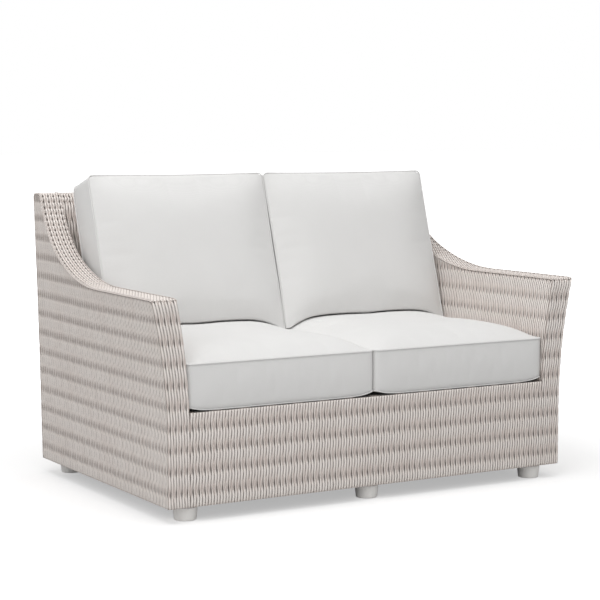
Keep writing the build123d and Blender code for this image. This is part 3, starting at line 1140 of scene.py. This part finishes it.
        def place(across: np.ndarray, along: np.ndarray) -> np.ndarray:
            """Points round the cap's edge.

            Args:
                across: Places round the edge.
                along: Places along the cap.

            Returns:
                Rows of x, y and z.
            """
            y, z = line.at(along)
            ahead_y, ahead_z = line.at(along + line.step)
            run = np.stack([ahead_y - y, ahead_z - z], axis=1)
            run /= np.linalg.norm(run, axis=1, keepdims=True)
            turn = across / width * math.pi / 2
            turn = math.pi / 2 - turn if inner else turn
            radius = self.edge_radius + self.edge_stand
            drop = self.edge_radius - radius * np.cos(turn)
            reach = radius * np.sin(turn) - self.edge_radius
            height = np.minimum(z, form.cap_height(y))
            x = form.wall(y, height, 1.0 if inner else 0.0) + outward * reach
            return np.stack([x, y + run[:, 1] * drop, z - run[:, 0] * drop], axis=1)

        return Panel(place, width, self.square(corner), self.square(end))

    def apron(self) -> Panel:
        """The front between the arms, under the cushions.

        Returns:
            The face to weave.
        """
        form = self.form

        def place(across: np.ndarray, along: np.ndarray) -> np.ndarray:
            """Points of the front face."""
            x = across - form.inner_half
            return np.stack([x, np.full_like(x, form.front), form.skirt + along], axis=1)

        return Panel(place, 2 * form.inner_half, np.zeros_like, self.square(form.deck - form.skirt))

    def rolled(self, line: SidePath, half: float, facing: float, share: float) -> tuple[Places, float]:
        """A face as wide as the seat that follows a line, and its width at the foot.

        Args:
            line: The line in the side view.
            half: Half the width at the foot.
            facing: 1 where strands count from the left, -1 from the right.
            share: 0 between the arms' outer faces and 1 between the inner ones.

        Returns:
            The places, and the width.
        """
        form = self.form
        width = 2 * half

        def place(across: np.ndarray, along: np.ndarray) -> np.ndarray:
            """Points up the face and over its top.

            Args:
                across: Places over its width at the foot.
                along: Places along the line.

            Returns:
                Rows of x, y and z.
            """
            y, z = line.at(along)
            height = np.minimum(z, form.cap_height(y))
            x = facing * (2 * across / width - 1.0) * form.wall(y, height, share)
            return np.stack([x, y, z], axis=1)

        return place, width

    def inner_back_and_roll(self) -> tuple[Panel, Panel]:
        """The leaning inner back, and the roll over its top.

        Returns:
            The two faces to weave.
        """
        form = self.form
        corners = [
            (form.lean_line(form.deck), form.deck),
            (form.lean_line(form.back_height), form.back_height),
            (-form.front, form.back_height),
        ]
        line = SidePath(np.array(corners), self.inner_rounding)
        place, width = self.rolled(line, form.inner_half, 1.0, 1.0)
        roll = line.length_at(*corners[1]) - self.roll_start
        end = line.length_at(-form.front - form.rear_radius, form.back_height)
        panel = Panel(place, width, np.zeros_like, self.square(roll + self.tuck))
        return panel, Panel(place, width, self.square(roll), self.square(end))

    def outer_back(self) -> Panel:
        """The raked rear face and the edge over its top.

        Returns:
            The face to weave.
        """
        form = self.form
        corners = [
            (form.rear_line(form.skirt), form.skirt),
            (form.rear_line(form.back_height), form.back_height),
            (-form.front - form.top_depth, form.back_height),
        ]
        line = SidePath(np.array(corners), self.outer_rounding)
        place, width = self.rolled(line, form.half_width, -1.0, 0.0)
        end = line.length_at(-form.front - form.rear_radius, form.back_height)
        return Panel(place, width, np.zeros_like, self.square(end + self.over_edge))


# Cushions


@dataclass(frozen=True)
class CoverCloth:
    """How a cover's cloth gives while it is filled, under the cloth modifier's own names."""

    quality: int = 6
    mass: float = 0.25
    tension_stiffness: float = 12.0
    compression_stiffness: float = 12.0
    shear_stiffness: float = 4.0
    bending_stiffness: float = 6.0
    use_pressure: bool = True
    uniform_pressure_force: float = 4.0
    shrink_min: float = -0.008


@dataclass(frozen=True)
class BoxCushion:
    """A crowned box cushion, lying on its lower seam plane, with its place."""

    name: str
    width: float
    depth: float
    boxing: float
    upper_crown: float
    lower_crown: float
    place: Matrix
    zip_at: Optional[Ends] = None
    flat_below: bool = False
    cloth: CoverCloth = CoverCloth()
    corner: float = 0.016
    corner_facets: int = 6
    draw: float = 0.003
    room: float = 0.0072
    squareness: float = 5.4
    corner_lift: float = 0.015
    corner_lift_power: int = 10
    voxel: float = 0.006
    held_share: float = 0.8
    filling_steps: int = 20
    puff: float = 0.012
    creases: float = 0.25
    easing: int = 40
    welt: float = 0.0020
    welt_sides: int = 8
    welt_steps: int = 360

    def outline_gap(self, x: np.ndarray, y: np.ndarray) -> np.ndarray:
        """Distance inward from the plan outline.

        Args:
            x: Places across the cushion.
            y: Places along its depth.

        Returns:
            One distance for each place, negative outside the outline.
        """
        wide = np.abs(x) - (self.width / 2 - self.corner)
        deep = np.abs(y) - (self.depth / 2 - self.corner)
        outside = np.hypot(np.clip(wide, 0.0, None), np.clip(deep, 0.0, None))
        inside = np.minimum(np.maximum(wide, deep), 0.0)
        return self.corner - outside - inside

    def blank(self) -> bpy.types.Mesh:
        """A round-cornered box in small even faces.

        Returns:
            The box as a mesh, on its lower seam plane.
        """
        rough = bpy.data.meshes.new(f"{self.name}_rough")
        with opened(rough) as bm:
            bmesh.ops.create_cube(bm, size=1.0)
            bmesh.ops.scale(bm, vec=(self.width, self.depth, self.boxing), verts=bm.verts[:])
            bmesh.ops.translate(bm, vec=(0.0, 0.0, self.boxing / 2), verts=bm.verts[:])
            upright = [e for e in bm.edges if abs(e.verts[0].co.z - e.verts[1].co.z) > self.boxing / 2]
            bmesh.ops.bevel(
                bm, geom=upright, offset=self.corner, offset_type="OFFSET",
                segments=self.corner_facets, profile=0.5, affect="EDGES", material=-1,
            )
        holder = shown(f"{self.name}_rough", rough)
        remesh = holder.modifiers.new("even", "REMESH")
        remesh.mode = "VOXEL"
        remesh.voxel_size = self.voxel
        graph = bpy.context.evaluated_depsgraph_get()
        even = bpy.data.meshes.new_from_object(holder.evaluated_get(graph))
        bpy.data.objects.remove(holder)
        return even

    def crowned(self, points: np.ndarray) -> np.ndarray:
        """Draw in the sides and raise the crowns of the plain box.

        Args:
            points: Places on the box.

        Returns:
            The same places on the crowned cushion.
        """
        x, y, z = points.T
        u = np.clip(x / (self.width / 2), -1.0, 1.0)
        v = np.clip(y / (self.depth / 2), -1.0, 1.0)
        rise_u = 1.0 - np.abs(u) ** self.squareness
        rise_v = 1.0 - np.abs(v) ** self.squareness
        level = np.clip(z / self.boxing, 0.0, 1.0)
        lift = (self.upper_crown - self.room) * level * rise_u * rise_v
        drop = max(self.lower_crown - self.room, 0.0) * (1.0 - level) * rise_u * rise_v
        raised = self.corner_lift * (1.0 - level) * np.abs(u * v) ** self.corner_lift_power
        x = x - u * self.draw * (1.0 - v * v)
        y = y - v * self.draw * (1.0 - u * u)
        return np.stack([x, y, z + lift - drop + raised], axis=1)

    def build(self) -> bpy.types.Mesh:
        """Shape, inflate and place the cushion.

        Returns:
            The finished closed mesh, in the seat's frame.
        """
        mesh = self.blank()
        box = points_of(mesh)
        start = self.crowned(box)
        held = self.held(box)
        move_points(mesh, start)
        shift = self.inflate(mesh, held) - start
        far = np.maximum(np.linalg.norm(shift, axis=1, keepdims=True), 1e-9)
        shift *= np.tanh(far / self.puff) * self.puff / far
        shift = shift * self.creases + self.eased(mesh, shift, held) * (1.0 - self.creases)
        move_points(mesh, start + shift)
        mesh.transform(self.place)
        return mesh

    def eased(self, mesh: bpy.types.Mesh, shift: np.ndarray, held: np.ndarray) -> np.ndarray:
        """Spread a movement evenly over the mesh.

        Args:
            mesh: The mesh that moves.
            shift: How each vertex moves.
            held: How firmly each vertex stays.

        Returns:
            A smoother movement, still nothing where a vertex is held.
        """
        pairs = np.zeros(len(mesh.edges) * 2, dtype=int)
        mesh.edges.foreach_get("vertices", pairs)
        first, second = pairs.reshape(-1, 2).T
        ends, starts = np.concatenate([first, second]), np.concatenate([second, first])
        count = np.bincount(ends, minlength=len(shift))
        free = (1.0 - held)[:, None]
        for _ in range(self.easing):
            near = [np.bincount(ends, shift[starts, axis], len(shift)) / count for axis in range(3)]
            shift = (shift + np.stack(near, axis=1)) / 2 * free
        return shift

    def held(self, box: np.ndarray) -> np.ndarray:
        """What stays while the cover is filled: seams, the zip's place and a flat underside.

        Args:
            box: Vertex places of the plain box.

        Returns:
            1 where a vertex is held, and 0 elsewhere.
        """
        x, y, z = box.T
        near = self.voxel * self.held_share
        near_edge = self.outline_gap(x, y) < near
        near_seam = np.minimum(np.abs(z), np.abs(self.boxing - z)) < near
        firm = (near_edge & near_seam).astype(float)
        if self.zip_at:
            firm = np.maximum(firm, self.zip_at(box))
        if self.flat_below:
            firm = np.maximum(firm, (z < near).astype(float))
        return firm

    def inflate(self, mesh: bpy.types.Mesh, held: np.ndarray) -> np.ndarray:
        """Blow the cover up like a filled cushion.

        Args:
            mesh: The cover before it is filled.
            held: How firmly each vertex stays.

        Returns:
            The vertex places after it is filled.
        """
        pad = shown(f"{self.name}_filling_test", mesh.copy())
        group = pad.vertex_groups.new(name="held")
        group.add([int(i) for i in np.flatnonzero(held >= 1.0)], 1.0, "REPLACE")
        cloth = pad.modifiers.new("cloth", "CLOTH")
        settings = cloth.settings
        settings.vertex_group_mass = group.name
        for name, value in asdict(self.cloth).items():
            setattr(settings, name, value)
        settings.effector_weights.gravity = 0.0
        cloth.collision_settings.use_collision = False
        scene = bpy.context.scene
        for step in range(self.filling_steps):
            scene.frame_set(step + 1)
        graph = bpy.context.evaluated_depsgraph_get()
        filled = bpy.data.meshes.new_from_object(pad.evaluated_get(graph))
        points = points_of(filled)
        scene.frame_set(1)
        bpy.data.objects.remove(pad)
        return points

    def welts(self) -> bpy.types.Mesh:
        """Thin fabric-covered cords along both seams.

        Returns:
            One mesh of two closed rings, in the seat's frame.
        """
        cells = (self.welt_sides, self.welt_steps)
        mesh = flat_grids(f"{self.name}_welts", {0: cells, 1: cells})
        raw = points_of(mesh)
        turn = (raw[:, 0] + 1.0) * math.pi
        centre, out = self.outline((raw[:, 1] + 1.0) / 2.0)
        seam = self.crowned(np.stack([centre[:, 0], centre[:, 1], raw[:, 2] * self.boxing], axis=1))
        seam[:, :2] += out * np.cos(turn)[:, None] * self.welt
        seam[:, 2] += np.sin(turn) * self.welt
        move_points(mesh, seam)
        mesh.transform(self.place)
        with opened(mesh) as bm:
            bmesh.ops.remove_doubles(bm, verts=bm.verts[:], dist=SAME_PLACE)
            bmesh.ops.recalc_face_normals(bm, faces=bm.faces[:])
        return mesh

    def outline(self, share: np.ndarray) -> tuple[np.ndarray, np.ndarray]:
        """Points and outward directions round the plan outline.

        Args:
            share: How far round, from 0 to 1.

        Returns:
            Rows of x and y, and rows of their outward directions.
        """
        long_x, long_y = self.width / 2 - self.corner, self.depth / 2 - self.corner
        arc = self.corner * math.pi / 2
        legs = [2 * long_x, arc, 2 * long_y, arc, 2 * long_x, arc, 2 * long_y, arc]
        marks = np.concatenate([[0.0], np.cumsum(legs)])
        gone = (share % 1.0) * marks[-1]
        leg = np.clip(np.searchsorted(marks, gone, "right") - 1, 0, 7)
        into = gone - marks[leg]
        quarter = leg // 2
        heading = quarter * math.pi / 2
        straight = leg % 2 == 0
        turned = heading + np.where(straight, 0.0, into / self.corner)
        ends = np.array([(-long_x, -long_y), (long_x, -long_y), (long_x, long_y), (-long_x, long_y)])
        out = np.stack([np.sin(turned), -np.cos(turned)], axis=1)
        travel = np.stack([np.cos(heading), np.sin(heading)], axis=1) * into[:, None]
        line = np.where(straight[:, None], ends[quarter] + travel, ends[(quarter + 1) % 4])
        return line + out * self.corner, out


@dataclass(frozen=True)
class CushionSet:
    """The four loose cushions."""

    form: SeatForm
    cloth: bpy.types.Material
    slot: str = "cushion_fabric"
    width: float = 0.594
    gap: float = 0.002
    seat_rear_gap: float = 0.0065
    seat_setback: float = 0.009
    seat_low: float = 0.302
    seat_boxing: float = 0.127
    seat_crown: float = 0.040
    back_boxing: float = 0.120
    back_crown_front: float = 0.045
    back_crown_rear: float = 0.070
    back_rise: float = 0.002
    back_foot_spare: float = 0.006
    crown_sink: float = 0.014
    fit_gap: float = 0.0003
    zip_length: float = 0.480
    zip_inset: float = 0.005
    zip_spare: float = 0.006
    rear_layer: float = 0.004
    zip_fade: float = 0.020
    tape_width: float = 0.022
    droop: float = 0.016
    droop_reach: float = 0.13
    spread: float = 0.006
    roll: float = 0.005
    roll_reach: float = 0.045
    welt_spare: float = 0.004
    clearance: float = 0.0012

    @property
    def centre(self) -> float:
        """Distance of a cushion's middle from the seat's middle."""
        return (self.gap + self.width) / 2

    @property
    def seat_depth(self) -> float:
        """Depth of a seat cushion, from its setback to just short of the leaning back."""
        rear = float(self.form.lean_line(self.seat_low)) - self.seat_rear_gap
        return rear - self.form.front - self.seat_setback

    def seat(self) -> BoxCushion:
        """The right seat cushion.

        Returns:
            Its form and place.
        """
        middle = self.form.front + self.seat_setback + self.seat_depth / 2

        def zip_at(box: np.ndarray) -> np.ndarray:
            """Where the zip lies on the cover's rear.

            Args:
                box: Vertex places of the plain box.

            Returns:
                1 where the zip holds the cover, and 0 elsewhere.
            """
            level = np.abs(box[:, 2] - self.seat_boxing / 2) < self.tape_width / 2 + self.zip_spare
            along = np.abs(box[:, 0] + self.spread / 2) < self.zip_length / 2 + self.zip_spare
            rear = box[:, 1] > self.seat_depth / 2 - self.rear_layer
            return (level & along & rear).astype(float)

        return BoxCushion(
            name="seat_cushion",
            width=self.width + self.spread,
            depth=self.seat_depth,
            boxing=self.seat_boxing,
            upper_crown=self.seat_crown,
            lower_crown=0.0,
            place=Matrix.Translation((self.centre + self.spread / 2, middle, self.seat_low)),
            zip_at=zip_at,
            flat_below=True,
            draw=0.001,
            room=0.003,
            squareness=7.0,
        )

    def back(self) -> BoxCushion:
        """The right back cushion, which leans on the inner back.

        Returns:
            Its form and place.
        """
        form = self.form
        sine, cosine = math.sin(form.lean), math.cos(form.lean)
        foot = self.foot
        stand_off = self.back_crown_rear + self.fit_gap
        top_y = -form.front - form.top_depth + self.back_rise * sine
        top_z = form.back_height + self.back_rise * cosine
        drop = top_z + (stand_off + self.back_boxing) * sine - foot
        height = drop / cosine + self.back_foot_spare
        origin = Vector((
            self.centre,
            top_y - stand_off * cosine - height / 2 * sine,
            top_z + stand_off * sine - height / 2 * cosine,
        ))
        axes = Matrix(((-1.0, 0.0, 0.0), (0.0, -sine, -cosine), (0.0, -cosine, sine)))
        return BoxCushion(
            name="back_cushion",
            width=self.width,
            depth=height,
            boxing=self.back_boxing,
            upper_crown=self.back_crown_front,
            lower_crown=self.back_crown_rear,
            place=Matrix.Translation(origin) @ axes.transposed().to_4x4(),
        )

    @property
    def foot(self) -> float:
        """Height of the back cushions' flat foot."""
        return self.seat_low + self.seat_boxing + self.seat_crown - self.crown_sink

    def build(self) -> None:
        """Make the right cushions, rest the back one on the seat, and mirror both."""
        seat = self.seat()
        seat_mesh, seat_welts = seat.build(), seat.welts()
        back = self.back()
        back_mesh, back_welts = back.build(), back.welts()
        for mesh in (seat_mesh, seat_welts, back_mesh, back_welts):
            self.press(mesh)
        ground = self.top_of(seat_mesh)
        for mesh in (back_mesh, back_welts):
            self.rest(mesh, ground)
        self.show(seat, seat_mesh, seat_welts)
        self.show(back, back_mesh, back_welts)

    def press(self, mesh: bpy.types.Mesh) -> None:
        """Press a cushion flat against its neighbour, the arm and the inner back.

        Args:
            mesh: A right cushion or its welts.
        """
        points = points_of(mesh)
        wall = self.form.wall(points[:, 1], points[:, 2], 1.0) - self.clearance
        points[:, 0] = np.clip(points[:, 0], self.gap / 2, wall)
        leaning = self.form.lean_line(points[:, 2]) - self.clearance
        below_top = points[:, 2] < self.form.back_height - self.clearance
        points[:, 1] = np.where(below_top, np.minimum(points[:, 1], leaning), points[:, 1])
        move_points(mesh, points)

    def top_of(self, seat: bpy.types.Mesh) -> BVHTree:
        """A search tree of the seat cushion, for what rests on it."""
        with opened(seat) as bm:
            return BVHTree.FromBMesh(bm)

    def rest(self, mesh: bpy.types.Mesh, ground: BVHTree) -> None:
        """Let a back cushion's foot follow the seat cushion that it stands on.

        Args:
            mesh: The right back cushion or its welts.
            ground: The seat cushion's surface.
        """
        points = points_of(mesh)
        front = points[points[:, 2] < self.foot + self.welt_spare, 1].min()
        for index in np.flatnonzero(points[:, 2] < self.foot + self.droop_reach):
            x, y, z = points[index]
            hit = ground.ray_cast(Vector((x, y, 1.0)), Vector((0.0, 0.0, -1.0)))[0]
            level = self.foot - self.droop
            if hit:
                level = max(level, hit.z + self.fit_gap * 4)
            level += self.roll * max(1.0 - (y - front) / self.roll_reach, 0.0) ** 2
            level += (self.foot + self.fit_gap * 2 - level) * self.near_zip(x, y)
            climbed = min(max((z - self.foot) / self.droop_reach, 0.0), 1.0)
            ease = 1.0 - climbed * climbed * (3.0 - 2.0 * climbed)
            points[index, 2] = max(z, self.foot) + (level - self.foot) * ease
        move_points(mesh, points)

    def near_zip(self, x: float, y: float) -> float:
        """How close a place under the back cushion is to its zip.

        Args:
            x: The place across the seat.
            y: The place along the depth.

        Returns:
            1 on the tape, falling to 0 well off it.
        """
        stand_off = (self.back_crown_rear + self.fit_gap) / math.cos(self.form.lean)
        zip_y = float(self.form.lean_line(self.foot)) - stand_off - self.zip_inset
        over_x = abs(x - self.centre) - self.zip_length / 2 - self.zip_spare
        over_y = abs(y - zip_y) - self.tape_width / 2 - self.zip_spare
        return max(1.0 - max(over_x, over_y, 0.0) / self.zip_fade, 0.0)

    def show(self, cushion: BoxCushion, mesh: bpy.types.Mesh, welts: bpy.types.Mesh) -> None:
        """Dress a cushion and its welts, with their mirrored twins.

        Args:
            cushion: The cushion's form.
            mesh: The right cushion's cover.
            welts: The right cushion's welts.
        """
        for side in Side:
            body = f"{cushion.name}_{side.value}"
            right = side is Side.RIGHT
            cover = shown(f"{body}_padded", mesh if right else mirrored(f"{body}_padded", mesh))
            seams = shown(f"{body}_welts", welts if right else mirrored(f"{body}_welts", welts))
            for piece in (cover, seams):
                piece.data.materials.clear()
                piece.data.materials.append(self.cloth)
                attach(piece, body)
            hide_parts(f"{cushion.name}_cover_{side.value}", f"{cushion.name}_filling_{side.value}")
            top = points_of(cover.data)[:, 2].max()
            LOG.info("%s: %d faces, top at %.4f", cover.name, len(cover.data.polygons), top)


# Finishes of the pieces that keep their own shape


@dataclass(frozen=True)
class Hardware:
    """Finishes for the tube frame, feet, straps and zips."""

    tube: Coating = Coating("tube_coat", colour=(0.40, 0.35, 0.32), worn=(0.33, 0.29, 0.27))
    nylon: Coating = Coating(
        "glide_nylon", colour=(0.97, 0.955, 0.93), worn=(0.93, 0.91, 0.88), grain=600.0,
    )
    steel: Coating = Coating(
        "zinc_plate", colour=(0.62, 0.62, 0.61), worn=(0.45, 0.45, 0.44), roughness=0.35,
        metallic=1.0, grain=1200.0,
    )
    tape: Coating = Coating(
        "zip_tape", colour=(0.72, 0.715, 0.70), worn=(0.62, 0.615, 0.60), roughness=0.8,
        grain=1500.0, depth=0.0003,
    )
    slider: Coating = Coating(
        "zip_slider", colour=(0.70, 0.70, 0.69), worn=(0.55, 0.55, 0.54), roughness=0.35, metallic=0.8,
    )
    straps: Strapping = Strapping()

    def dress(self, nodes: dict[str, bpy.types.Object]) -> None:
        """Give each node that still shows its finish.

        Args:
            nodes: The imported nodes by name.
        """
        finishes = {
            "webbing": self.straps.material(),
            "glide": self.nylon.material(),
            "foot_weld": self.steel.material(),
            "zip_slider": self.slider.material(),
            "_zip_": self.tape.material(),
        }
        tube = self.tube.material()
        for name, node in nodes.items():
            if node.hide_render:
                continue
            chosen = next((made for word, made in finishes.items() if word in name), tube)
            node.data.materials.clear()
            node.data.materials.append(chosen)


# Studio


@dataclass(frozen=True)
class Studio:
    """Floor, light and camera."""

    target: Triple = (0.00713, -0.016, 0.5379)
    azimuth: float = -30.42
    elevation: float = 5.55
    distance: float = 5.4034
    lens: float = 106.1
    sensor: float = 36.0
    reach: float = 200.0
    sky: float = 0.52
    floor_half: float = 60.0
    floor_colour: float = 0.69
    floor_speckle: float = 0.9
    floor_glow: float = 0.43
    near: float = 1.0
    far: float = 3.5

    def build(self) -> None:
        """Set up everything round the seat."""
        self.camera()
        self.floor()
        self.world()
        self.lamps()
        bpy.context.scene.view_settings.view_transform = "Standard"

    def camera(self) -> None:
        """The camera at the photograph's angle."""
        turn, tip = math.radians(self.azimuth), math.radians(self.elevation)
        back = Vector((math.sin(turn) * math.cos(tip), -math.cos(turn) * math.cos(tip), math.sin(tip)))
        data = bpy.data.cameras.new("camera")
        data.lens = self.lens
        data.sensor_width = self.sensor
        data.clip_end = self.reach
        camera = bpy.data.objects.new("camera", data)
        camera.location = Vector(self.target) + back * self.distance
        camera.rotation_euler = (-back).to_track_quat("-Z", "Y").to_euler()
        bpy.context.scene.collection.objects.link(camera)
        bpy.context.scene.camera = camera

    def floor(self) -> None:
        """A wide pale floor that keeps the shadow and fades to white."""
        mesh = bpy.data.meshes.new("floor")
        with opened(mesh) as bm:
            bmesh.ops.create_grid(bm, x_segments=2, y_segments=2, size=self.floor_half)
        floor = shown("floor", mesh)
        shader = Shader("floor_paper")
        drift = shader.noise(2.0, 1.0) * 0.02
        paper = shader.blend(drift, grey(self.floor_colour), grey(self.floor_colour * self.floor_speckle))
        shader.set(Base_Color=paper, Roughness=1.0, Specular_IOR_Level=0.0, Emission_Strength=1.0)
        x, y, _ = shader.place()
        away = (x * x + y * y).root()
        spread = shader.node("ShaderNodeMapRange", {}, {"Value": away, 1: self.near, 2: self.far})
        glow = shader.blend(spread, grey(self.floor_glow), grey(1.0))
        seen = shader.node("ShaderNodeLightPath", {}, {}, "Is Camera Ray")
        shader.set(Emission_Color=shader.blend(seen, grey(0.0), glow))
        mesh.materials.append(shader.material)

    def world(self) -> None:
        """Even light from all round, and white where a ray sees it straight."""
        world = bpy.data.worlds.new("studio")
        bpy.context.scene.world = world
        world.use_nodes = True
        nodes = Nodes(world.node_tree)
        nodes.tree.nodes.remove(nodes.tree.nodes["Background"])
        rays = ("Is Camera Ray", "Is Transmission Ray", "Is Glossy Ray")
        camera, through, glossy = [nodes.node("ShaderNodeLightPath", {}, {}, ray) for ray in rays]
        seen = camera.largest(through).largest(glossy)
        lights = [
            nodes.node("ShaderNodeBackground", {}, {"Color": grey(1.0), "Strength": strength})
            for strength in (self.sky, 1.0)
        ]
        mixed = nodes.node("ShaderNodeMixShader", {}, {0: seen, 1: lights[0], 2: lights[1]})
        nodes.feed(nodes.tree.nodes["World Output"].inputs["Surface"], mixed)

    def lamps(self) -> None:
        """A broad soft box overhead and a weaker one from the front left."""
        self.soft_box("overhead", where=(-0.6, -0.6, 4.2), size=4.0, power=90.0)
        self.soft_box("front_left", where=(-3.7, -2.9, 2.4), size=2.5, power=46.0)

    def soft_box(self, name: str, where: Triple, size: float, power: float) -> None:
        """One square soft box that faces the seat.

        Args:
            name: Name of the new lamp.
            where: Its place.
            size: Length of its side.
            power: Watts.
        """
        data = bpy.data.lights.new(name, "AREA")
        data.shape = "SQUARE"
        data.size = size
        data.energy = power
        lamp = bpy.data.objects.new(name, data)
        lamp.location = where
        aim = Vector(self.target) - Vector(where)
        lamp.rotation_euler = aim.to_track_quat("-Z", "Y").to_euler()
        bpy.context.scene.collection.objects.link(lamp)


def main() -> None:
    """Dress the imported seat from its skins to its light."""
    logging.basicConfig(level=logging.INFO, format="%(message)s")
    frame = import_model()
    form = SeatForm()
    WovenSeat(form, WovenResin().material()).build()
    CushionSet(form, WovenCloth().material()).build()
    Hardware().dress(frame["nodes"])
    Studio().build()


if __name__ == "__main__":
    main()
